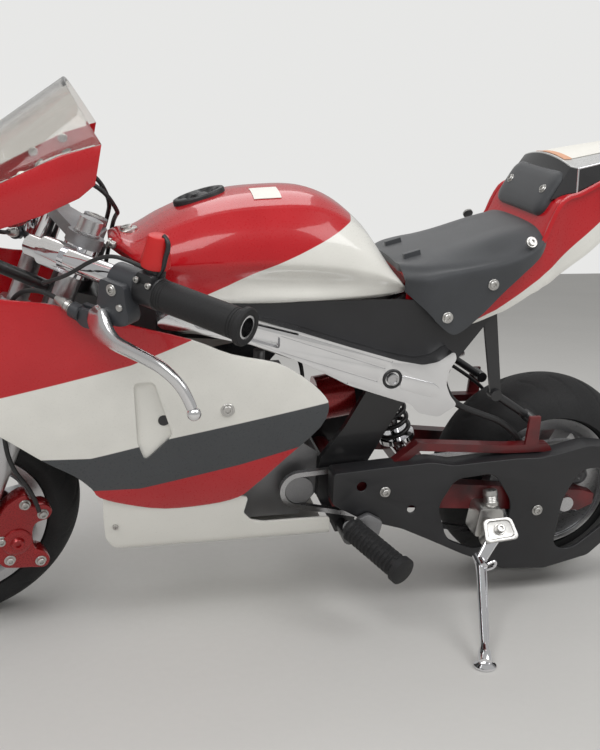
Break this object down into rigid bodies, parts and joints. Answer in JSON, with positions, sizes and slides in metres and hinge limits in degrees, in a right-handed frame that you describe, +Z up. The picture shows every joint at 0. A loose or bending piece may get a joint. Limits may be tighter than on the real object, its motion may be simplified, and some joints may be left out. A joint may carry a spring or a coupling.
{
  "type": "mini motorcycle",
  "caption": "Pocket-size racing motorcycle with full fairing, spar frame, disc brakes and low clip-on bars, leaning on its side stand.",
  "frame": {"origin": "on the ground, under the middle of the parked motorcycle's box", "axes": "-X is the front of the motorcycle, -Y its left side, the side of the stand, +Z up"},
  "size_m": [1.0035, 0.5494, 0.62],
  "materials": {
    "rubber": "matte",
    "silver_alloy": "satin",
    "chrome": "polished",
    "steel": "brushed",
    "black_steel": "satin",
    "black_plastic": "satin",
    "black_pad": "matte",
    "grip_rubber": "matte",
    "red_gloss": "gloss",
    "white_gloss": "gloss",
    "red_metal": "gloss",
    "clear_screen": "clear",
    "cable_cover": "satin",
    "cast_alloy": "cast"
  },
  "bodies": {
    "frame": {"air_filter": "red_metal", "belly_pan": "white_gloss", "breather_hose": "cable_cover", "chain": "steel", "chain_cover": "black_plastic", "engine": "cast_alloy", "exhaust": "steel", "foot_peg_left": "grip_rubber", "foot_peg_right": "grip_rubber", "frame_spar_left": "silver_alloy", "frame_spar_right": "silver_alloy", "front_frame": "black_steel", "fuel_cap": "black_plastic", "lumbar_pad": "black_pad", "rear_axle": "steel", "rear_brake_cable": "cable_cover", "rear_caliper": "red_metal", "rear_frame": "black_steel", "seat_link_left": "steel", "seat_link_right": "steel", "seat_pad": "black_pad", "shock_absorber": "chrome", "shock_spring": "black_steel", "side_fairing_left": "white_gloss", "side_fairing_right": "white_gloss", "stand_bracket": "chrome", "swingarm": "red_metal", "tail_cowl": "red_gloss", "tank_cover": "red_gloss", "throttle_cable": "cable_cover", "under_seat_cover_left": "black_plastic", "under_seat_cover_right": "black_plastic", "upper_fairing": "red_gloss", "windscreen": "clear_screen"},
    "steering": {"brake_lever_left": "chrome", "brake_lever_right": "chrome", "fork_leg_left": "silver_alloy", "fork_leg_right": "silver_alloy", "front_axle": "steel", "front_brake_cable": "cable_cover", "front_caliper": "red_metal", "grip_left": "grip_rubber", "grip_right": "grip_rubber", "handlebar_left": "chrome", "handlebar_right": "chrome", "kill_switch": "black_plastic", "kill_switch_lead": "cable_cover", "lever_perch_left": "black_plastic", "lever_perch_right": "black_plastic", "lower_fork_clamp": "silver_alloy", "throttle_housing": "black_plastic", "upper_fork_clamp": "chrome"},
    "front_wheel": {"front_brake_disc": "steel", "front_rim": "silver_alloy", "front_tyre": "rubber"},
    "rear_wheel": {"rear_tyre": "rubber", "rear_rim": "silver_alloy", "rear_brake_disc": "steel", "rear_sprocket": "steel"},
    "side_stand": {"stand_leg": "chrome"}
  },
  "joints": [
    {"name": "steering_turn", "type": "hinge", "parent": "frame", "child": "steering", "pos_m": [-0.34025, 0.04332, 0.1278], "axis": [0.374, -0.169, 0.9119], "range_deg": [-33, 0]},
    {"name": "front_wheel_spin", "type": "hinge", "parent": "steering", "child": "front_wheel", "pos_m": [-0.36514, 0.03367, 0.13622], "axis": [-0.2635, 0.9234, 0.2792], "continuous": true},
    {"name": "rear_wheel_spin", "type": "hinge", "parent": "frame", "child": "rear_wheel", "pos_m": [0.36379, 0.04177, 0.13661], "axis": [-0.0001, 0.9833, 0.1822], "continuous": true},
    {"name": "stand_swing", "type": "hinge", "parent": "frame", "child": "side_stand", "pos_m": [0.25081, -0.09111, 0.10174], "axis": [-0.0004, -0.8069, 0.5906], "range_deg": [0, 110]}
  ]
}
